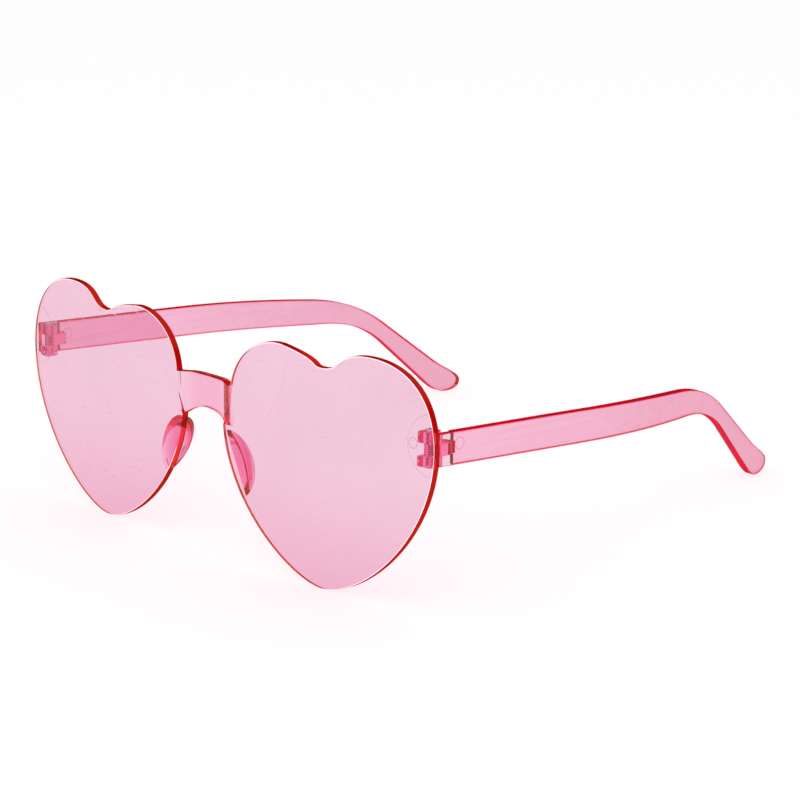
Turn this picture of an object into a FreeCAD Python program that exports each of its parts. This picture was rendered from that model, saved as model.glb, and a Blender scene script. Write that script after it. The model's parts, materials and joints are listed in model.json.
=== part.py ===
import FreeCAD, Part
import math
import os

# Heart-shaped rimless sunglasses, moulded in clear tinted polycarbonate.
# Built with the lens plane upright, front towards -Y and the ear pieces
# running to +Y, then tipped back to stand on the lens tips and the ear tips.
# All sizes are in millimetres.

# Every moulded outline has the same small edge rounding
edge_round = 0.3

# Front: both lenses, bridge, nose pads and hinge ears are one moulding
lens_thickness = 1.8
curve_radius = 520.0
curve_centre_z = 1.0
lens_gap = 18.6
heart_width = 63.2
heart_height = 56.1
heart_tip_z = -26.1

# Heart outline: smooth curves joined end to end, given as shares of the
# heart's width (from the nose side) and height (from its lower tip)
outer_side_shares = ((0.482, 0.0), (0.672, 0.011), (1.0, 0.310), (1.0, 0.673))
outer_lobe_shares = ((1.0, 0.673), (1.0, 0.849), (0.905, 1.0), (0.701, 1.0))
outer_cleft_shares = ((0.701, 1.0), (0.539, 1.0), (0.574, 0.915), (0.466, 0.917))
inner_cleft_shares = ((0.466, 0.917), (0.419, 0.918), (0.468, 0.943), (0.276, 0.973))
inner_lobe_shares = ((0.276, 0.973), (0.188, 0.987), (0.0, 0.925), (0.0, 0.692))
nose_top_shares = (-0.033, 0.575)
nose_side_shares = ((-0.033, 0.575), (0.008, 0.213), (0.347, -0.008), (0.482, 0.0))

# Bridge: a band set back behind the lens fronts
bridge_top_z = 16.4
bridge_arch_z = 8.6
bridge_top_drop = 0.5
bridge_recess = 1.3
bridge_thickness = 2.2
bridge_blend = 4.9
bridge_front_lap = 0.1
bridge_back_lap = 0.3
bridge_key_lap = 1.1
bridge_key_inset = 0.4

# Nose pads: rounded half moons behind the nose edges, splayed outwards
pad_half_length = 8.4
pad_half_width = 5.2
pad_depth = 6.0
pad_lean_deg = 24.8
pad_splay_deg = 3.0
pad_inset = 1.6
pad_centre_z = -2.4
pad_sink = 0.9

# Hinges: two ears on the lens back hold one knuckle of the ear piece
hinge_inset = 3.9
hinge_stand = 1.87
ear_radius = 1.8
ear_top_z = 15.8
ear_gap_top_z = 13.3
ear_gap_low_z = 10.3
ear_low_z = 8.0
ear_sink = 1.0
knuckle_radius = 1.3
knuckle_play = 0.15
screw_radius = 0.55
upper_hole_play = 0.04
lower_hole_play = 0.01
knuckle_hole_play = 0.05
screw_head_radius = 1.05
screw_head_height = 0.5
screw_slot_width = 0.3
screw_slot_depth = 0.25
screw_end_z = 8.2

# Ear pieces: straight arm, downward bend behind the ear, paddle tip
temple_inset = 0.5
temple_thickness = 2.3
temple_front_gap = 0.33
temple_length = 129.3
temple_low_z = -19.0
temple_rise = 34.8
temple_bow_y = 52.0
temple_bow_radius = 156.0
bow_sweep_deg = 13.2
rebate_wall = 1.3
rebate_run = 3.7
tongue_flat = 0.1
tongue_slope = 0.9
tongue_root = 0.3

# Ear piece side outline, as shares of its length (from the front) and of
# its rise (from the lowest point of the tip)
arm_top_shares = ((0.0, 1.0), (0.218, 0.958), (0.437, 0.935), (0.659, 0.853))
bend_top_shares = ((0.659, 0.853), (0.714, 0.830), (0.768, 0.769), (0.822, 0.602))
tip_top_shares = ((0.939, 0.260), (0.962, 0.193), (1.0, 0.138), (1.0, 0.080))
tip_end_shares = ((1.0, 0.080), (1.0, 0.029), (0.986, 0.0), (0.965, 0.0))
tip_low_shares = ((0.965, 0.0), (0.942, 0.0), (0.922, 0.078), (0.903, 0.147))
bend_low_shares = ((0.814, 0.460), (0.762, 0.643), (0.706, 0.657), (0.652, 0.661))
arm_low_front_share = 0.784

# Working reach of the cutting blocks, well beyond the part
reach = 60.0


def vec(x, y, z):
    return FreeCAD.Vector(x, y, z)


def curve(points):
    bow = Part.BezierCurve()
    bow.setPoles(points)
    return bow.toShape()


def line(start, end):
    return Part.LineSegment(start, end).toShape()


def face_of(edges):
    return Part.Face(Part.Wire(edges))


def lens_front_y(x, z):
    reach_in = x ** 2 + (z - curve_centre_z) ** 2
    return curve_radius - math.sqrt(curve_radius ** 2 - reach_in)


# Places that follow from the sizes above
inner_x = lens_gap / 2
outer_x = inner_x + heart_width
bridge_flat_half = inner_x - bridge_blend
lens_flat_x = inner_x + edge_round
bridge_front_half = lens_flat_x + bridge_front_lap
bridge_back_half = lens_flat_x + bridge_back_lap
bridge_key_half = lens_flat_x + bridge_key_lap
pad_centre_x = inner_x + pad_inset
hinge_x = outer_x - hinge_inset
hinge_y = lens_front_y(hinge_x, ear_gap_low_z) + lens_thickness + hinge_stand
temple_outer_x = outer_x - temple_inset
temple_back_y = lens_front_y(temple_outer_x, ear_gap_low_z) + lens_thickness
temple_front_y = temple_back_y + temple_front_gap
rebate_end_y = hinge_y + rebate_run
tongue_flat_y = rebate_end_y + tongue_flat
tongue_end_y = tongue_flat_y + tongue_slope


def mirrored(shape):
    return shape.mirror(vec(0, 0, 0), vec(1, 0, 0))


def on_heart(shares):
    across, up = shares
    return vec(inner_x + across * heart_width, 0, heart_tip_z + up * heart_height)


def heart_curve(shares):
    return curve([on_heart(share) for share in shares])


def rounded(solid, direction):
    """Rounds the edges whose ends lie apart along a direction."""
    long_edges = []
    for edge in solid.Edges:
        ends = [vertex.Point.dot(direction) for vertex in edge.Vertexes]
        if max(ends) - min(ends) > edge_round:
            long_edges.append(edge)
    return solid.makeFillet(edge_round, long_edges)


# Lens plate: the heart outline cut through a thin spherical shell
heart_edges = [
    heart_curve(outer_side_shares),
    heart_curve(outer_lobe_shares),
    heart_curve(outer_cleft_shares),
    heart_curve(inner_cleft_shares),
    heart_curve(inner_lobe_shares),
    line(on_heart(inner_lobe_shares[-1]), on_heart(nose_top_shares)),
    heart_curve(nose_side_shares),
]
heart = face_of(heart_edges).extrude(vec(0, reach, 0))
curve_centre = vec(0, curve_radius, curve_centre_z)
outer_ball = Part.makeSphere(curve_radius, curve_centre)
inner_ball = Part.makeSphere(curve_radius - lens_thickness, curve_centre)
left_lens = rounded(heart.common(outer_ball).cut(inner_ball), vec(1, 0, 0))

# Bridge: front outline in X and Z, set-back band in X and Y
corner_z = bridge_top_z - bridge_top_drop
nose_corner = on_heart(nose_top_shares)
bridge_mid_z = (corner_z + nose_corner.z) / 2
bridge_crown = Part.Arc(
    vec(-bridge_key_half, 0, corner_z),
    vec(0, 0, bridge_top_z),
    vec(bridge_key_half, 0, corner_z),
).toShape()
bridge_arch = Part.Arc(
    vec(nose_corner.x, 0, nose_corner.z),
    vec(0, 0, bridge_arch_z),
    vec(-nose_corner.x, 0, nose_corner.z),
).toShape()
bridge_front = face_of([
    bridge_crown,
    line(vec(bridge_key_half, 0, corner_z), vec(bridge_key_half, 0, nose_corner.z)),
    line(vec(bridge_key_half, 0, nose_corner.z), vec(nose_corner.x, 0, nose_corner.z)),
    bridge_arch,
    line(vec(-nose_corner.x, 0, nose_corner.z), vec(-bridge_key_half, 0, nose_corner.z)),
    line(vec(-bridge_key_half, 0, nose_corner.z), vec(-bridge_key_half, 0, corner_z)),
]).extrude(vec(0, reach, 0))


def step_curve(side, wide, narrow, wide_y, narrow_y):
    middle = (wide + narrow) / 2
    return curve([
        vec(side * wide, wide_y, 0),
        vec(side * middle, wide_y, 0),
        vec(side * middle, narrow_y, 0),
        vec(side * narrow, narrow_y, 0),
    ])


front_y = lens_front_y(bridge_front_half, bridge_mid_z)
back_y = lens_front_y(bridge_back_half, bridge_mid_z) + lens_thickness
key_y = lens_front_y(bridge_key_half, bridge_mid_z)
key_front_y = key_y + bridge_key_inset
key_back_y = key_y + lens_thickness - bridge_key_inset
set_back_y = bridge_recess + bridge_thickness
bridge_plan_edges = [
    line(
        vec(-bridge_flat_half, bridge_recess, 0),
        vec(bridge_flat_half, bridge_recess, 0),
    ),
    line(vec(bridge_flat_half, set_back_y, 0), vec(-bridge_flat_half, set_back_y, 0)),
]
for side in (1, -1):
    bridge_plan_edges += [
        step_curve(side, bridge_front_half, bridge_flat_half, front_y, bridge_recess),
        line(
            vec(side * bridge_front_half, front_y, 0),
            vec(side * bridge_key_half, key_front_y, 0),
        ),
        line(
            vec(side * bridge_key_half, key_front_y, 0),
            vec(side * bridge_key_half, key_back_y, 0),
        ),
        line(
            vec(side * bridge_key_half, key_back_y, 0),
            vec(side * bridge_back_half, back_y, 0),
        ),
        step_curve(side, bridge_back_half, bridge_flat_half, back_y, set_back_y),
    ]
bridge_plan = face_of(Part.__sortEdges__(bridge_plan_edges))
bridge_band = bridge_plan.extrude(vec(0, 0, reach))
bridge = rounded(bridge_front.common(bridge_band), vec(1, 0, 0))

# Nose pad: an egg shape leaning along the nose edge, kept behind the lens
# front and on the cheek side of the splayed nose plane
squash = FreeCAD.Matrix()
squash.A11 = pad_half_width / pad_depth
squash.A33 = pad_half_length / pad_depth
pad = Part.makeSphere(pad_depth).transformGeometry(squash)
keep_box = Part.makeBox(reach, reach, reach, vec(0, 0, -reach / 2))
keep_box.rotate(vec(0, 0, 0), vec(0, 0, 1), -pad_splay_deg)
pad = pad.common(keep_box)
pad = pad.common(Part.makeBox(reach, reach, reach, vec(-reach / 2, pad_sink, -reach / 2)))
pad.rotate(vec(0, 0, 0), vec(0, 1, 0), -pad_lean_deg)
pad.translate(vec(pad_centre_x, 0, pad_centre_z))

# Hinge ears: two flat lugs standing on the lens back
ear_root_y = lens_front_y(hinge_x, ear_gap_low_z) + lens_thickness - ear_sink


def lug(radius, low_z, high_z):
    height = high_z - low_z
    barrel = Part.makeCylinder(radius, height, vec(hinge_x, hinge_y, low_z))
    root = Part.makeBox(
        radius + radius,
        hinge_y - ear_root_y,
        height,
        vec(hinge_x - radius, ear_root_y, low_z),
    )
    return barrel.fuse(root)


def bore(radius, low_z, high_z):
    return Part.makeCylinder(radius, high_z - low_z, vec(hinge_x, hinge_y, low_z))


upper_ear = lug(ear_radius, ear_gap_top_z, ear_top_z)
lower_ear = lug(ear_radius, ear_low_z, ear_gap_low_z)
upper_bore = bore(screw_radius + upper_hole_play, ear_gap_top_z, ear_top_z)
lower_bore = bore(screw_radius + lower_hole_play, ear_low_z, ear_gap_low_z)

# One-piece front
left_half = left_lens.fuse([pad, upper_ear, lower_ear]).cut(upper_bore).cut(lower_bore)
lens_front = left_half.fuse([bridge, mirrored(left_half)]).removeSplitter()


# Ear piece: side outline crossed with a bowed band in plan
def on_arm(shares):
    along, up = shares
    return vec(0, temple_front_y + along * temple_length, temple_low_z + up * temple_rise)


def arm_curve(shares):
    return curve([on_arm(share) for share in shares])


arm_low_front = (0, arm_low_front_share)
arm_side = face_of([
    arm_curve(arm_top_shares),
    arm_curve(bend_top_shares),
    line(on_arm(bend_top_shares[-1]), on_arm(tip_top_shares[0])),
    arm_curve(tip_top_shares),
    arm_curve(tip_end_shares),
    arm_curve(tip_low_shares),
    line(on_arm(tip_low_shares[-1]), on_arm(bend_low_shares[0])),
    arm_curve(bend_low_shares),
    line(on_arm(bend_low_shares[-1]), on_arm(arm_low_front)),
    line(on_arm(arm_low_front), on_arm(arm_top_shares[0])),
]).extrude(vec(reach + reach, 0, 0))


def bowed_edge(inset):
    front = vec(temple_outer_x - inset, temple_front_y - ear_radius, 0)
    start = vec(temple_outer_x - inset, temple_bow_y, 0)
    radius = temple_bow_radius - inset

    def on_bow(angle):
        return start + vec(radius * math.cos(angle) - radius, radius * math.sin(angle), 0)

    bent = math.radians(bow_sweep_deg)
    turn = on_bow(bent)
    end = turn + vec(-math.sin(bent), math.cos(bent), 0) * temple_length
    bow = Part.Arc(start, on_bow(bent / 2), turn).toShape()
    return [line(front, start), bow, line(turn, end)], front, end


outer_edges, outer_front, outer_end = bowed_edge(0)
inner_edges, inner_front, inner_end = bowed_edge(temple_thickness)
plan_edges = outer_edges + inner_edges
plan_edges += [line(outer_front, inner_front), line(outer_end, inner_end)]
arm_plan = face_of(Part.__sortEdges__(plan_edges))
arm_plan.translate(vec(0, 0, -reach))
arm_band = arm_plan.extrude(vec(0, 0, reach + reach))
arm = rounded(arm_side.common(arm_band), vec(0, 1, 0))

# Rebate inside the front end clears the ears; the tongue with its knuckle
# reaches forward between them from the full thickness behind
rebate = Part.makeBox(
    reach,
    reach,
    reach + reach,
    vec(temple_outer_x - rebate_wall - reach, rebate_end_y - reach, -reach),
)
inner_face_x = temple_outer_x - temple_thickness
knuckle_low_z = ear_gap_low_z + knuckle_play
knuckle_high_z = ear_gap_top_z - knuckle_play
knuckle_height = knuckle_high_z - knuckle_low_z
knuckle = Part.makeCylinder(
    knuckle_radius, knuckle_height, vec(hinge_x, hinge_y, knuckle_low_z)
)
tongue_root_x = temple_outer_x - rebate_wall + tongue_root
tongue_plan = Part.makePolygon([
    vec(hinge_x - knuckle_radius, hinge_y, knuckle_low_z),
    vec(hinge_x - knuckle_radius, tongue_flat_y, knuckle_low_z),
    vec(inner_face_x, tongue_end_y, knuckle_low_z),
    vec(tongue_root_x, tongue_end_y, knuckle_low_z),
    vec(tongue_root_x, hinge_y, knuckle_low_z),
    vec(hinge_x - knuckle_radius, hinge_y, knuckle_low_z),
])
tongue = Part.Face(tongue_plan).extrude(vec(0, 0, knuckle_height))
knuckle_bore = bore(screw_radius + knuckle_hole_play, knuckle_low_z, knuckle_high_z)
left_temple = arm.cut(rebate).fuse([tongue, knuckle]).cut(knuckle_bore).removeSplitter()

# Hinge screw: slotted head on the upper ear, shank down through the knuckle
shank = bore(screw_radius, screw_end_z, ear_top_z)
head = bore(screw_head_radius, ear_top_z, ear_top_z + screw_head_height)
slot = Part.makeBox(
    screw_head_radius * 2,
    screw_slot_width,
    screw_slot_depth,
    vec(
        hinge_x - screw_head_radius,
        hinge_y - screw_slot_width / 2,
        ear_top_z + screw_head_height - screw_slot_depth,
    ),
)
left_screw = shank.fuse(head).cut(slot).removeSplitter()

nodes = {
    "lens_front": lens_front,
    "left_temple": left_temple,
    "right_temple": mirrored(left_temple),
    "left_hinge_screw": left_screw,
    "right_hinge_screw": mirrored(left_screw),
}

# Standing pose: tip the glasses back until the lens tips and the ear tips
# share one level, then put the origin on that level under the middle
front_low = lens_front.optimalBoundingBox(False, False).ZMin
tip_y = temple_front_y + tip_low_shares[0][0] * temple_length
lens_tip = on_heart(outer_side_shares[0])
lens_tip_y = lens_front_y(lens_tip.x, lens_tip.z) + lens_thickness
tilt_deg = math.degrees(math.atan2(temple_low_z - front_low, tip_y - lens_tip_y))
for shape in nodes.values():
    shape.rotate(vec(0, 0, 0), vec(1, 0, 0), -tilt_deg)
whole = Part.makeCompound(list(nodes.values())).optimalBoundingBox(False, False)
shift = vec(0, -(whole.YMin + whole.YMax) / 2, -whole.ZMin)
os.makedirs("parts", exist_ok=True)
for name, shape in nodes.items():
    shape.translate(shift)
    shape.exportStep("parts/" + name + ".step")
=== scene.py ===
import json
import math

import bpy
from mathutils import Matrix, Vector


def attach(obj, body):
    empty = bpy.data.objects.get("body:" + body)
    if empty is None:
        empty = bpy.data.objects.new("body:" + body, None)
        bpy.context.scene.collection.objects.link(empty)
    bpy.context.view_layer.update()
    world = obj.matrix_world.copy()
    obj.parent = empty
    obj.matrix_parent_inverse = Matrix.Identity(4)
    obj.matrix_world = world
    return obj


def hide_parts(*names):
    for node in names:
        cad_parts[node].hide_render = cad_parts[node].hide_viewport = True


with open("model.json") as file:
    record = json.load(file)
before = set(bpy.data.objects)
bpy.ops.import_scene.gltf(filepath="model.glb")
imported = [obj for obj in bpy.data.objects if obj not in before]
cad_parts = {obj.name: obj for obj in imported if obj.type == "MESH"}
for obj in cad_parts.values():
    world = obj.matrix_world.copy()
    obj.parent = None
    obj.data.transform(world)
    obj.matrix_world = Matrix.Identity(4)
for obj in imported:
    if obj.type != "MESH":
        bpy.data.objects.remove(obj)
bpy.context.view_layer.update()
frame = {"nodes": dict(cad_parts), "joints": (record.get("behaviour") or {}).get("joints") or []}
bpy.ops.object.select_all(action="DESELECT")

# Lens front
# Both hearts, the bridge, the nose pads and the hinge ears are one injection
# moulding in clear pink polycarbonate with polished faces. Light that runs
# inside the plate comes out at its edges, a deep red.
MM = 0.001
stand_tilt = math.radians(3.18097)
stand_shift = Vector((0.0, -67.5749, 26.3114)) * MM

plastic_bend = 1.54
plastic_shine = (1.0, 0.62, 0.48, 1.0)
lens_dye = (0.972, 0.0, 0.45, 1.0)
lens_dye_density = 265.0
lens_tint = (0.91, 1.0, 0.965, 1.0)
lens_flow_tint = (0.89, 0.975, 0.94, 1.0)
lens_low_shade_tint = (0.875, 0.87, 0.885, 1.0)
lens_mark_tint = (0.62, 0.42, 0.50, 1.0)
pad_tint = (0.97, 0.82, 0.88, 1.0)
ear_tint = (1.0, 0.52, 0.76, 1.0)
# Painted shade: the edge tints and the edge coat darken the plate's edges and their reflections
# to a deeper red than the dye gives
lens_edge_shade_tint = (0.90, 0.38, 0.27, 1.0)
bridge_edge_shade_tint = (1.0, 0.42, 0.40, 1.0)
lens_edge_shade_coat = (0.94, 0.43, 0.34, 1.0)
edge_shade_coat_bend = 1.0
# Painted highlight: the rim next to the face is whitened and glows
rim_painted_white = (1.0, 1.0, 1.0, 1.0)
rim_painted_glow = 0.62
rising = (0.0, 1.0)
falling = (1.0, 0.0)


def place(tree, kind, **values):
    """Adds one shader node and sets the named inputs of it."""
    node = tree.nodes.new("ShaderNode" + kind)
    for name, value in values.items():
        node.inputs[name.replace("_", " ")].default_value = value
    return node


def reckon(tree, work, first, second=None, third=None, vector=False):
    """Adds a maths node; each operand is a plain value or another node's output."""
    node = tree.nodes.new("ShaderNodeVectorMath" if vector else "ShaderNodeMath")
    node.operation = work
    for socket, operand in zip(node.inputs, (first, second, third)):
        if isinstance(operand, bpy.types.NodeSocket):
            tree.links.new(operand, socket)
        elif operand is not None:
            socket.default_value = operand
    if vector and work in ("DOT_PRODUCT", "DISTANCE", "LENGTH"):
        return node.outputs["Value"]
    return node.outputs[0]


def times(tree, first, *others):
    """Multiplies masks or values with one another."""
    for other in others:
        first = reckon(tree, "MULTIPLY", first, other)
    return first


def between(tree, value, span, ends):
    """Turns a value over a span into a smooth step from one end value to the other."""
    node = place(
        tree, "MapRange", From_Min=span[0], From_Max=span[1], To_Min=ends[0], To_Max=ends[1]
    )
    node.interpolation_type = "SMOOTHSTEP"
    tree.links.new(value, node.inputs["Value"])
    return node.outputs["Result"]


def tint(tree, share, under, over):
    """Mixes two colours; each is a plain colour or another node's output."""
    node = tree.nodes.new("ShaderNodeMix")
    node.data_type = "RGBA"
    tree.links.new(share, node.inputs[0])
    for socket, colour in ((node.inputs[6], under), (node.inputs[7], over)):
        if isinstance(colour, bpy.types.NodeSocket):
            tree.links.new(colour, socket)
        else:
            socket.default_value = colour
    return node.outputs[2]


def axes(tree, vector):
    """Splits a vector into its three parts."""
    node = place(tree, "SeparateXYZ")
    tree.links.new(vector, node.inputs["Vector"])
    return node.outputs


def group_of(name, takes, gives):
    """Starts a node group with its named inputs and outputs."""
    group = bpy.data.node_groups.new(name, "ShaderNodeTree")
    for way, sockets in (("INPUT", takes), ("OUTPUT", gives)):
        for socket_name, kind in sockets:
            group.interface.new_socket(
                socket_name, in_out=way, socket_type="NodeSocket" + kind
            )
    into = group.nodes.new("NodeGroupInput").outputs
    out_of = group.nodes.new("NodeGroupOutput").inputs
    return group, into, out_of


def use(tree, group, **values):
    """Places a node group and sets or links its named inputs."""
    node = tree.nodes.new("ShaderNodeGroup")
    node.node_tree = group
    for name, value in values.items():
        socket = node.inputs[name.replace("_", " ")]
        if isinstance(value, bpy.types.NodeSocket):
            tree.links.new(value, socket)
        else:
            socket.default_value = value
    return node.outputs


# Fitted place: where a point lies in millimetres with the lenses held upright.
# Place has both halves folded onto the left one, Signed place has not.
fitted_group, _, fitted_out = group_of(
    "fitted_place", (), (("Place", "Vector"), ("Signed place", "Vector"))
)
upright_turn = Matrix.Rotation(stand_tilt, 3, "X")
upright = place(
    fitted_group,
    "Mapping",
    Location=-(upright_turn @ stand_shift),
    Rotation=(stand_tilt, 0.0, 0.0),
)
fitted_group.links.new(
    place(fitted_group, "TexCoord").outputs["Object"], upright.inputs["Vector"]
)
in_mm = reckon(fitted_group, "SCALE", upright.outputs["Vector"], vector=True)
in_mm.node.inputs["Scale"].default_value = 1.0 / MM
halves = axes(fitted_group, in_mm)
folded = place(fitted_group, "CombineXYZ")
fitted_group.links.new(
    reckon(fitted_group, "ABSOLUTE", halves["X"]), folded.inputs["X"]
)
fitted_group.links.new(halves["Y"], folded.inputs["Y"])
fitted_group.links.new(halves["Z"], folded.inputs["Z"])
fitted_group.links.new(folded.outputs["Vector"], fitted_out["Place"])
fitted_group.links.new(in_mm, fitted_out["Signed place"])

# Edge and rim: the narrow edge of a plate with the steep part of its rounding,
# and the shallow part of the rounding next to the face. The lean is 1 on the
# face and 0 on the edge.
edge_lean = (0.58, 0.78)
rim_lean_from = (0.72, 0.85)
rim_lean_to = (0.950, 0.975)
edge_group, edge_in, edge_out = group_of(
    "edge_and_rim", (("Face axis", "Vector"),), (("Edge", "Float"), ("Rim", "Float"))
)
lean = reckon(
    edge_group,
    "DOT_PRODUCT",
    place(edge_group, "TexCoord").outputs["Normal"],
    edge_in["Face axis"],
    vector=True,
)
lean = reckon(edge_group, "ABSOLUTE", lean)
edge_group.links.new(between(edge_group, lean, edge_lean, falling), edge_out["Edge"])
rim = times(
    edge_group,
    between(edge_group, lean, rim_lean_from, rising),
    between(edge_group, lean, rim_lean_to, falling),
)
edge_group.links.new(rim, edge_out["Rim"])

# Ring mark: the fine circle that an ejector pin or a mould insert leaves
ring_fade = (0.4, 1.0)
ring_group, ring_in, ring_out = group_of(
    "ring_mark",
    (("Place", "Vector"), ("Centre", "Vector"), ("Radius", "Float"), ("Width", "Float")),
    (("Mark", "Float"),),
)
ring_away = reckon(
    ring_group, "DISTANCE", ring_in["Place"], ring_in["Centre"], vector=True
)
ring_off = reckon(ring_group, "SUBTRACT", ring_away, ring_in["Radius"])
ring_off = reckon(
    ring_group, "DIVIDE", reckon(ring_group, "ABSOLUTE", ring_off), ring_in["Width"]
)
ring_group.links.new(between(ring_group, ring_off, ring_fade, falling), ring_out["Mark"])

# Moulded gloss: slow waves from the mould polish, hairline scratches from
# wiping, fine specks in the melt and a little haze in patches
wave_scale = 0.06
haze_scale = 0.09
speck_scale = 0.16
hair_cut = (0.72, 0.76)
hair_depth = -0.3
hair_shade = 0.22
haze_cut = (0.45, 0.75)
flow_cut = (0.3, 0.7)
speck_size = (0.015, 0.035)
speck_shade = 0.8
gloss_group, gloss_in, gloss_out = group_of(
    "moulded_gloss",
    (("Place", "Vector"), ("Stretch", "Vector"), ("Clear", "Float"), ("Hazy", "Float")),
    (("Height", "Float"), ("Roughness", "Float"), ("Flow", "Float"), ("Specks", "Float")),
)
wave = place(gloss_group, "TexNoise", Scale=wave_scale, Detail=1.0)
haze = place(gloss_group, "TexNoise", Scale=haze_scale, Detail=4.0)
hair = place(gloss_group, "TexNoise", Scale=1.0, Detail=1.0, Distortion=0.3)
speck = place(gloss_group, "TexVoronoi", Scale=speck_scale)
for pattern in (wave, haze, speck):
    gloss_group.links.new(gloss_in["Place"], pattern.inputs["Vector"])
gloss_group.links.new(
    reckon(gloss_group, "MULTIPLY", gloss_in["Place"], gloss_in["Stretch"], vector=True),
    hair.inputs["Vector"],
)
hairline = between(gloss_group, hair.outputs["Fac"], hair_cut, rising)
haze_patch = between(gloss_group, haze.outputs["Fac"], haze_cut, rising)
haze_span = reckon(gloss_group, "SUBTRACT", gloss_in["Hazy"], gloss_in["Clear"])
gloss_group.links.new(
    reckon(gloss_group, "MULTIPLY_ADD", haze_patch, haze_span, gloss_in["Clear"]),
    gloss_out["Roughness"],
)
gloss_group.links.new(
    reckon(gloss_group, "MULTIPLY_ADD", hairline, hair_depth, wave.outputs["Fac"]),
    gloss_out["Height"],
)
gloss_group.links.new(
    between(gloss_group, wave.outputs["Fac"], flow_cut, rising), gloss_out["Flow"]
)
speck_mask = between(gloss_group, speck.outputs["Distance"], speck_size, (speck_shade, 0.0))
gloss_group.links.new(
    reckon(gloss_group, "MAXIMUM", times(gloss_group, hairline, hair_shade), speck_mask),
    gloss_out["Specks"],
)

polish_clear = 0.01
polish_hazy = 0.035
mark_depth = -0.5
bump_strength = 0.3
bump_height = 0.1 * MM


def clear_plastic(name, dye_colour, density, edge_shade_coat, stretch):
    """Starts a clear dyed polycarbonate and returns its tree, body, place and gloss."""
    material = bpy.data.materials.new(name)
    material.use_nodes = True
    tree = material.node_tree
    tree.nodes.clear()
    end = tree.nodes.new("ShaderNodeOutputMaterial")
    body = place(
        tree,
        "BsdfPrincipled",
        IOR=plastic_bend,
        Transmission_Weight=1.0,
        Specular_Tint=plastic_shine,
        # The coat reflects nothing; its tint paints shade over the edges' colour and reflections
        Coat_IOR=edge_shade_coat_bend,
        Coat_Tint=edge_shade_coat,
        # The glow is a painted highlight, shown only where a rim is linked in
        Emission_Strength=rim_painted_glow,
        Emission_Color=(0.0, 0.0, 0.0, 1.0),
    )
    dye = place(tree, "VolumeAbsorption", Color=dye_colour, Density=density)
    at = use(tree, fitted_group)
    gloss = use(
        tree,
        gloss_group,
        Place=at["Signed place"],
        Stretch=stretch,
        Clear=polish_clear,
        Hazy=polish_hazy,
    )
    tree.links.new(gloss["Roughness"], body.inputs["Roughness"])
    # Light on its way to the table goes straight through, tinted by the dye
    ray = tree.nodes.new("ShaderNodeLightPath")
    straight = tree.nodes.new("ShaderNodeBsdfTransparent")
    cover = tree.nodes.new("ShaderNodeMixShader")
    passing = reckon(
        tree, "MAXIMUM", ray.outputs["Is Shadow Ray"], ray.outputs["Is Diffuse Ray"]
    )
    tree.links.new(passing, cover.inputs["Fac"])
    tree.links.new(body.outputs["BSDF"], cover.inputs[1])
    tree.links.new(straight.outputs["BSDF"], cover.inputs[2])
    tree.links.new(cover.outputs["Shader"], end.inputs["Surface"])
    tree.links.new(dye.outputs["Volume"], end.inputs["Volume"])
    return tree, body, at, gloss


def finish_plastic(tree, body, gloss, face, edge_shade_tint, edge, marks, rim=None):
    """Joins face, marks, painted edge shade, painted highlight line and gloss of a clear
    plastic.
    """
    spots = reckon(tree, "MAXIMUM", marks, gloss["Specks"])
    colour = tint(tree, spots, face, lens_mark_tint)
    # The edge tint is painted shade, a deeper red over the edges
    colour = tint(tree, edge, colour, edge_shade_tint)
    # The rim is a painted highlight: whitened colour and a glow along the rounding
    if rim:
        colour = tint(tree, rim, colour, rim_painted_white)
        tree.links.new(rim, body.inputs["Emission Color"])
    tree.links.new(colour, body.inputs["Base Color"])
    # The coat on the edges paints their reflections darker and redder
    tree.links.new(edge, body.inputs["Coat Weight"])
    bump = place(tree, "Bump", Strength=bump_strength, Distance=bump_height)
    height = reckon(tree, "MULTIPLY_ADD", marks, mark_depth, gloss["Height"])
    tree.links.new(height, bump.inputs["Height"])
    tree.links.new(bump.outputs["Normal"], body.inputs["Normal"])


# The plate lies between two spheres; depth is 0 at its middle and grows forwards
curve_centre = (0.0, 520.0, 1.0)
curve_mid = 519.1
lens_hair_stretch = (0.25, 1.0, 2.5)
lens_tree, lens_body, lens_at, lens_gloss = clear_plastic(
    "pink_lens_polycarbonate", lens_dye, lens_dye_density, lens_edge_shade_coat, lens_hair_stretch
)
from_centre = reckon(
    lens_tree, "SUBTRACT", lens_at["Signed place"], curve_centre, vector=True
)
lens_axis = reckon(lens_tree, "NORMALIZE", from_centre, vector=True)
lens_depth = reckon(
    lens_tree, "SUBTRACT", reckon(lens_tree, "LENGTH", from_centre, vector=True), curve_mid
)
lens_edge = use(lens_tree, edge_group, Face_axis=lens_axis)
lens_sides = axes(lens_tree, lens_at["Place"])

# A painted highlight, a glowing white line, follows the front of both heart outlines, not the
# bridge
front_half = (0.0, 0.3)
bridge_end = (9.6, 10.2)
beside_bridge = between(lens_tree, lens_sides["X"], bridge_end, rising)
lens_highlight_line = times(
    lens_tree,
    lens_edge["Rim"],
    between(lens_tree, lens_depth, front_half, rising),
    beside_bridge,
)

# The hearts are a little deeper in colour low down, painted shade for the table's shade seen
# through them.
# Pads and ears stand out behind the plate and look deeper for their thickness.
painted_low_span = (-25.0, 4.0)
plate_back = (-1.05, -0.95)
ear_start = (50.0, 55.0)
lens_face = tint(lens_tree, lens_gloss["Flow"], lens_tint, lens_flow_tint)
painted_low_shade = between(lens_tree, lens_sides["Z"], painted_low_span, falling)
lens_face = tint(lens_tree, painted_low_shade, lens_face, lens_low_shade_tint)
by_hinge = between(lens_tree, lens_sides["X"], ear_start, rising)
thick_face = tint(lens_tree, by_hinge, pad_tint, ear_tint)
in_plate = between(lens_tree, lens_depth, plate_back, rising)

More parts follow.
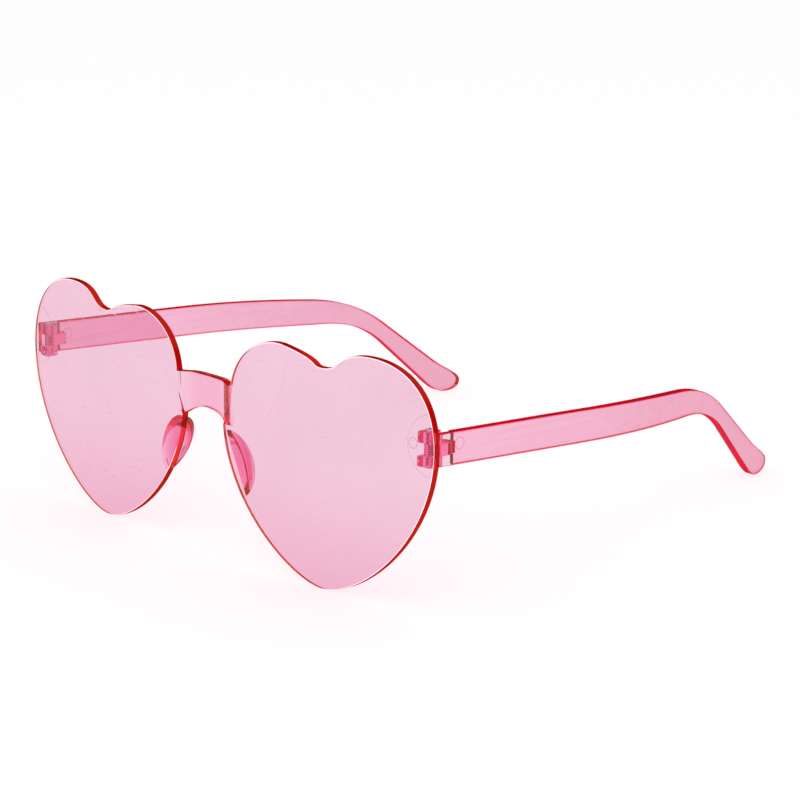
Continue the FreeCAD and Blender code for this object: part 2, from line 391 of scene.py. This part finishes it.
# On the back, by each hinge: an ejector pin ring and the outline of the insert
# that forms the ears. On the front of the left lens: one long faint scratch.
back_face = (-0.88, -0.80)
front_face = (0.80, 0.88)
insert_shade = 0.7
scratch_shade = 0.5
scratch_low = (8.0, 13.0)
scratch_high = (24.0, 27.5)
scratch_side = (10.0, 15.0)
pin_ring = use(
    lens_tree,
    ring_group,
    Place=lens_at["Place"],
    Centre=(65.6, 6.1, 12.9),
    Radius=1.15,
    Width=0.16,
)
insert_line = use(
    lens_tree,
    ring_group,
    Place=lens_at["Place"],
    Centre=(71.1, 6.7, 13.0),
    Radius=7.1,
    Width=0.14,
)
scratch_line = use(
    lens_tree,
    ring_group,
    Place=lens_at["Signed place"],
    Centre=(1.4, 0.7, 28.2),
    Radius=27.1,
    Width=0.10,
)
mould_marks = times(
    lens_tree,
    reckon(
        lens_tree,
        "MAXIMUM",
        pin_ring["Mark"],
        times(lens_tree, insert_line["Mark"], insert_shade),
    ),
    between(lens_tree, lens_depth, back_face, falling),
)
scratch = times(
    lens_tree,
    scratch_line["Mark"],
    between(lens_tree, lens_sides["Z"], scratch_low, (0.0, scratch_shade)),
    between(lens_tree, lens_sides["Z"], scratch_high, falling),
    between(lens_tree, axes(lens_tree, lens_at["Signed place"])["X"], scratch_side, rising),
    between(lens_tree, lens_depth, front_face, rising),
)
finish_plastic(
    lens_tree,
    lens_body,
    lens_gloss,
    face=tint(lens_tree, in_plate, thick_face, lens_face),
    edge_shade_tint=tint(lens_tree, beside_bridge, bridge_edge_shade_tint, lens_edge_shade_tint),
    edge=times(lens_tree, lens_edge["Edge"], in_plate),
    marks=reckon(lens_tree, "MAXIMUM", mould_marks, scratch),
    rim=lens_highlight_line,
)
lens_slots = frame["nodes"]["lens_front"].data.materials
lens_slots.clear()
lens_slots.append(bpy.data.materials["pink_lens_polycarbonate"])

# Ear pieces
# Each is one moulding in the same pink polycarbonate: a flat arm, bent down
# behind the ear, with the hinge knuckle moulded on at its front end. The
# knuckle turns on the hinge screw, between the ears of the lens.
temple_side = (1.0, 0.0, 0.0)
temple_dye = (0.985, 0.0, 0.43, 1.0)
temple_dye_density = 270.0
temple_tint = (0.935, 1.0, 0.985, 1.0)
tip_shade_tint = (0.84, 0.77, 0.76, 1.0)
smear_tint = (0.84, 0.74, 0.79, 1.0)
# Painted shade: the temple's edges are tinted a deeper pink, in their colour and in their
# reflections
temple_edge_shade_tint = (1.0, 0.56, 0.66, 1.0)
temple_edge_shade_coat = (0.965, 0.53, 0.67, 1.0)
temple_rim_share = 0.6
temple_hair_stretch = (1.0, 0.2, 2.0)
temple_tree, temple_body, temple_at, temple_gloss = clear_plastic(
    "pink_temple_polycarbonate",
    temple_dye,
    temple_dye_density,
    temple_edge_shade_coat,
    temple_hair_stretch,
)
temple_edge = use(temple_tree, edge_group, Face_axis=temple_side)
# Painted shade along the edges, reaching onto the part of the rounding next to the face
temple_shaded_outline = reckon(
    temple_tree,
    "MAXIMUM",
    temple_edge["Edge"],
    times(temple_tree, temple_edge["Rim"], temple_rim_share),
)
temple_sides = axes(temple_tree, temple_at["Place"])

# Painted shade: the colour deepens towards the tip, with a little of the random flow tone mixed
# in
tip_shade_span = (20.0, 135.0)
flow_share = 0.1
along = between(temple_tree, temple_sides["Y"], tip_shade_span, rising)
along = reckon(temple_tree, "MULTIPLY_ADD", temple_gloss["Flow"], flow_share, along)

# Streaks along the arm and blotches before the bend, where the melt slowed down
streak_stretch = (0.3, 0.03, 0.9)
streak_cut = (0.45, 0.65)
streak_shade = 0.5
blotch_scale = 0.35
blotch_cut = (0.46, 0.60)
slow_from = (45.0, 75.0)
slow_to = (102.0, 114.0)
slow_shade = 0.7
slow_rest = 0.15
streak = place(temple_tree, "TexNoise", Scale=1.0, Detail=3.0)
blotch = place(temple_tree, "TexNoise", Scale=blotch_scale, Detail=5.0, Roughness=0.65)
temple_tree.links.new(
    reckon(temple_tree, "MULTIPLY", temple_at["Signed place"], streak_stretch, vector=True),
    streak.inputs["Vector"],
)
temple_tree.links.new(temple_at["Signed place"], blotch.inputs["Vector"])
smear = reckon(
    temple_tree,
    "MAXIMUM",
    between(temple_tree, streak.outputs["Fac"], streak_cut, (0.0, streak_shade)),
    times(
        temple_tree,
        between(temple_tree, temple_sides["Y"], slow_from, (0.0, slow_shade)),
        between(temple_tree, temple_sides["Y"], slow_to, (1.0, slow_rest)),
        between(temple_tree, blotch.outputs["Fac"], blotch_cut, rising),
    ),
)
# The tip tint is painted shade
temple_face = tint(temple_tree, along, temple_tint, tip_shade_tint)
temple_face = tint(temple_tree, smear, temple_face, smear_tint)

# The knuckle is thick like the ears it turns between, and as deep in colour
arm_inside = (70.5, 70.8)
arm_front = (11.9, 12.1)
in_arm = reckon(
    temple_tree,
    "MAXIMUM",
    between(temple_tree, temple_sides["X"], arm_inside, rising),
    between(temple_tree, temple_sides["Y"], arm_front, rising),
)
temple_ring = use(
    temple_tree,
    ring_group,
    Place=temple_at["Place"],
    Centre=(69.7, 14.4, 12.4),
    Radius=1.35,
    Width=0.16,
)
finish_plastic(
    temple_tree,
    temple_body,
    temple_gloss,
    face=tint(temple_tree, in_arm, ear_tint, temple_face),
    edge_shade_tint=temple_edge_shade_tint,
    edge=times(temple_tree, temple_shaded_outline, in_arm),
    marks=temple_ring["Mark"],
)
for side in ("left", "right"):
    temple_slots = frame["nodes"][side + "_temple"].data.materials
    temple_slots.clear()
    temple_slots.append(bpy.data.materials["pink_temple_polycarbonate"])

# Hinge screws
# One small turned steel screw for each hinge, with a slotted head, put in from
# above through the upper ear and the knuckle into the lower ear. Its thread
# shows as fine dark and bright lines through the clear plastic; the dark roots are painted
# shade.
crest_radius = 0.54 * MM
root_radius = 0.36 * MM
pitch = 0.55 * MM
crest_flat = 0.10 * MM
screw_low = -3.6 * MM
head_low = 4.0 * MM
head_high = 4.5 * MM
head_radius = 1.04 * MM
head_bevel = 0.12 * MM
bevel_steps = 3
slot_width = 0.3 * MM
slot_depth = 0.25 * MM
round_steps = 32
spare_turns = 3
merge_gap = 0.001 * MM
smooth_angle = math.radians(30.0)

# Turned steel: fine lathe lines, a brighter and duller mottle, and painted shade in the thread
# roots
hinge_axis = (68.6, 8.2987, 0.0)
thread_root = (0.38, 0.46)
steel_dull = (0.82, 0.80, 0.81, 1.0)
steel_bright = (0.95, 0.93, 0.94, 1.0)
steel_root_shade = (0.22, 0.16, 0.18, 1.0)
mottle_cut = (0.3, 0.7)
steel_roughness = (0.30, 0.50)
lathe_height = 0.02 * MM
steel = bpy.data.materials.new("turned_steel")
steel.use_nodes = True
steel_tree = steel.node_tree
steel_body = steel_tree.nodes["Principled BSDF"]
steel_body.inputs["Metallic"].default_value = 1.0
steel_at = use(steel_tree, fitted_group)
steel_off = reckon(steel_tree, "SUBTRACT", steel_at["Place"], hinge_axis, vector=True)
steel_flat = reckon(steel_tree, "MULTIPLY", steel_off, (1.0, 1.0, 0.0), vector=True)
steel_away = reckon(steel_tree, "LENGTH", steel_flat, vector=True)
thread_root_shade = between(steel_tree, steel_away, thread_root, falling)
mottle = place(steel_tree, "TexNoise", Scale=6.0, Detail=3.0)
steel_tree.links.new(steel_off, mottle.inputs["Vector"])
steel_colour = tint(steel_tree, mottle.outputs["Fac"], steel_dull, steel_bright)
steel_tree.links.new(
    # Painted shade in the thread roots
    tint(steel_tree, thread_root_shade, steel_colour, steel_root_shade), steel_body.inputs["Base Color"]
)
steel_tree.links.new(
    between(steel_tree, mottle.outputs["Fac"], mottle_cut, steel_roughness),
    steel_body.inputs["Roughness"],
)
lathe = place(steel_tree, "TexWave", Scale=4.0, Distortion=0.4)
lathe.bands_direction = "Z"
steel_tree.links.new(steel_off, lathe.inputs["Vector"])
lathe_bump = place(steel_tree, "Bump", Strength=0.15, Distance=lathe_height)
steel_tree.links.new(lathe.outputs["Fac"], lathe_bump.inputs["Height"])
steel_tree.links.new(lathe_bump.outputs["Normal"], steel_body.inputs["Normal"])


def pick(piece, parts, wanted):
    """Opens a piece for editing with the vertices, edges or faces selected that pass a test."""
    kinds = {"vertices": "VERT", "edges": "EDGE", "polygons": "FACE"}
    bpy.ops.object.mode_set(mode="EDIT")
    bpy.ops.mesh.select_mode(type=kinds[parts])
    bpy.ops.mesh.select_all(action="DESELECT")
    bpy.ops.object.mode_set(mode="OBJECT")
    for part in getattr(piece.data, parts):
        part.select = wanted(part)
    bpy.ops.object.mode_set(mode="EDIT")


# One thread tooth is a plate set upright beside the axis, narrowed at its crest
# and left open towards the axis. It starts below the screw's end, which is cut.
bpy.ops.object.select_all(action="DESELECT")
tooth_middle = screw_low - pitch * 0.8
half_way = (root_radius + crest_radius) / 2
bpy.ops.mesh.primitive_plane_add(
    size=1.0,
    rotation=(math.radians(90.0), 0.0, 0.0),
    location=(half_way, 0.0, tooth_middle),
)
shank = bpy.context.object
shank.scale = (crest_radius - root_radius, pitch, 1.0)
bpy.ops.object.transform_apply(location=True, rotation=True, scale=True)
pick(shank, "vertices", lambda vertex: vertex.co.x > half_way)
bpy.ops.transform.resize(
    value=(1.0, 1.0, crest_flat / pitch), center_override=(crest_radius, 0.0, tooth_middle)
)
bpy.ops.mesh.select_all(action="SELECT")
bpy.ops.mesh.delete(type="ONLY_FACE")
bpy.ops.object.mode_set(mode="OBJECT")
pick(
    shank,
    "edges",
    lambda edge: all(shank.data.vertices[end].co.x < half_way for end in edge.vertices),
)
bpy.ops.mesh.delete(type="EDGE")
bpy.ops.object.mode_set(mode="OBJECT")

# The tooth is wound up into the shank, which is cut square at both ends
winding = shank.modifiers.new("winding", "SCREW")
winding.axis = "Z"
winding.screw_offset = pitch
winding.iterations = math.ceil((head_high - screw_low) / pitch) + spare_turns
winding.steps = round_steps
winding.render_steps = round_steps
bpy.ops.object.modifier_apply(modifier="winding")
pick(shank, "polygons", lambda face: True)
bpy.ops.mesh.remove_doubles(threshold=merge_gap)
for cut, inner in ((screw_low, True), (head_high - slot_depth - head_bevel, False)):
    bpy.ops.mesh.select_all(action="SELECT")
    bpy.ops.mesh.bisect(
        plane_co=(0.0, 0.0, cut),
        plane_no=(0.0, 0.0, 1.0),
        clear_inner=inner,
        clear_outer=not inner,
    )
bpy.ops.mesh.select_all(action="SELECT")
bpy.ops.mesh.fill_holes(sides=0)
bpy.ops.mesh.select_all(action="SELECT")
bpy.ops.mesh.normals_make_consistent(inside=False)
bpy.ops.object.mode_set(mode="OBJECT")

# The head is a low disc, rounded at its upper rim, with a slot across it
bpy.ops.mesh.primitive_cylinder_add(
    vertices=round_steps,
    radius=head_radius,
    depth=head_high - head_low,
    location=(0.0, 0.0, (head_low + head_high) / 2),
)
bpy.ops.object.transform_apply(location=True, rotation=True, scale=True)
head = bpy.context.object
pick(head, "polygons", lambda face: face.normal.z > 0.5)
bpy.ops.mesh.bevel(offset=head_bevel, segments=bevel_steps, affect="EDGES")
bpy.ops.object.mode_set(mode="OBJECT")
bpy.ops.mesh.primitive_cube_add(size=1.0, location=(0.0, 0.0, head_high))
cutter = bpy.context.object
cutter.scale = (head_radius * 3, slot_width, slot_depth * 2)
bpy.ops.object.transform_apply(location=True, rotation=True, scale=True)
slot_cut = head.modifiers.new("slot", "BOOLEAN")
slot_cut.operation = "DIFFERENCE"
slot_cut.object = cutter
bpy.context.view_layer.objects.active = head
bpy.ops.object.modifier_apply(modifier="slot")
bpy.data.objects.remove(cutter)

# Shank and head are one screw; a second one is copied from it for the right hinge
bpy.ops.object.select_all(action="DESELECT")
head.select_set(True)
shank.select_set(True)
bpy.context.view_layer.objects.active = shank
bpy.ops.object.join()
bpy.ops.object.shade_smooth_by_angle(angle=smooth_angle)
left_screw = bpy.context.object
left_screw.data.materials.clear()
left_screw.data.materials.append(steel)
bpy.ops.object.duplicate()
right_screw = bpy.context.object
for side, screw in (("left", left_screw), ("right", right_screw)):
    hinge = next(joint for joint in frame["joints"] if joint["name"] == side + "_hinge")
    bpy.ops.object.select_all(action="DESELECT")
    screw.select_set(True)
    bpy.context.view_layer.objects.active = screw
    screw.name = side + "_threaded_screw"
    screw.data.name = screw.name
    hinge_turn = Matrix.Rotation(-stand_tilt, 4, "X")
    screw.matrix_world = Matrix.Translation(hinge["pos_m"]) @ hinge_turn
    bpy.ops.object.transform_apply(location=True, rotation=True, scale=True)
    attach(screw, "front")
    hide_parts(side + "_hinge_screw")

# Table, light and camera
# A white table top under even white light from all round, seen from the
# wearer's left and a little above, through a long lens. The table is part plain
# white to the eye, so that it keeps only a faint shadow.
table_half = 6.0
table_white = (0.97, 0.97, 0.97, 1.0)
table_white_share = 0.6
bpy.ops.object.select_all(action="DESELECT")
bpy.ops.mesh.primitive_plane_add(size=2 * table_half)
table_top = bpy.context.object
table_top.name = "table_top"
table_paint = bpy.data.materials.new("white_table")
table_paint.use_nodes = True
table_tree = table_paint.node_tree
table_body = table_tree.nodes["Principled BSDF"]
table_body.inputs["Base Color"].default_value = table_white
table_body.inputs["Roughness"].default_value = 1.0
table_body.inputs["Specular IOR Level"].default_value = 0.0
table_ray = table_tree.nodes.new("ShaderNodeLightPath").outputs
table_seen = reckon(
    table_tree, "MAXIMUM", table_ray["Is Camera Ray"], table_ray["Is Glossy Ray"]
)
table_seen = reckon(table_tree, "MAXIMUM", table_seen, table_ray["Is Transmission Ray"])
plain_white = place(table_tree, "Emission", Strength=1.0)
table_mix = table_tree.nodes.new("ShaderNodeMixShader")
table_tree.links.new(
    times(table_tree, table_seen, table_white_share), table_mix.inputs["Fac"]
)
table_tree.links.new(table_body.outputs["BSDF"], table_mix.inputs[1])
table_tree.links.new(plain_white.outputs["Emission"], table_mix.inputs[2])
table_tree.links.new(
    table_mix.outputs["Shader"], table_tree.nodes["Material Output"].inputs["Surface"]
)
table_top.data.materials.append(table_paint)

# In the gloss the walls of the room have a dim band low down, which draws the
# clear edges
room_level = 0.95
room_white = (1.0, 1.0, 1.0, 1.0)
dim_wall = 0.2
wall_rise = (0.42, 0.60)
room = bpy.data.worlds.new("white_room")
bpy.context.scene.world = room
room.use_nodes = True
room_tree = room.node_tree
room_light = room_tree.nodes["Background"]
room_light.inputs["Color"].default_value = room_white
room_ray = room_tree.nodes.new("ShaderNodeLightPath").outputs
room_way = axes(room_tree, place(room_tree, "TexCoord").outputs["Generated"])
wall = between(room_tree, room_way["Z"], wall_rise, (dim_wall, 1.0))
seen = reckon(
    room_tree, "MAXIMUM", room_ray["Is Camera Ray"], room_ray["Is Transmission Ray"]
)
in_gloss = times(room_tree, room_ray["Is Glossy Ray"], wall)
seen = reckon(room_tree, "MAXIMUM", seen, in_gloss)
lit = times(room_tree, room_ray["Is Diffuse Ray"], room_level)
room_tree.links.new(reckon(room_tree, "MAXIMUM", seen, lit), room_light.inputs["Strength"])

lamp_place = Vector((0.5, -0.9, 1.3))
lamp_turn = lamp_place.to_track_quat("Z", "Y").to_matrix().to_4x4()
lamp = bpy.data.lights.new("soft_box", "AREA")
lamp.shape = "SQUARE"
lamp.size = 1.2
lamp.energy = 4.0
lamp_stand = bpy.data.objects.new("soft_box", lamp)
bpy.context.scene.collection.objects.link(lamp_stand)
lamp_stand.matrix_world = Matrix.Translation(lamp_place) @ lamp_turn

view_azimuth = math.radians(47.420)
view_elevation = math.radians(16.374)
view_roll = math.radians(-1.684)
view_from = Vector((506.99, -470.57, 225.51)) * MM
view_camera = bpy.data.cameras.new("view")
view_camera.sensor_width = 36.0
view_camera.lens = 130.62
view_camera.clip_start = 0.01
view_camera.clip_end = 100.0
view = bpy.data.objects.new("view", view_camera)
bpy.context.scene.collection.objects.link(view)
view.matrix_world = (
    Matrix.Translation(view_from)
    @ Matrix.Rotation(view_azimuth, 4, "Z")
    @ Matrix.Rotation(math.radians(90.0) - view_elevation, 4, "X")
    @ Matrix.Rotation(view_roll, 4, "Z")
)
bpy.context.scene.camera = view
bpy.context.scene.view_settings.view_transform = "Standard"

# Light may turn this often inside the clear plates before it is let go
inner_turns = 128
bpy.context.scene.cycles.max_bounces = inner_turns
bpy.context.scene.cycles.glossy_bounces = inner_turns
bpy.context.scene.cycles.transmission_bounces = inner_turns
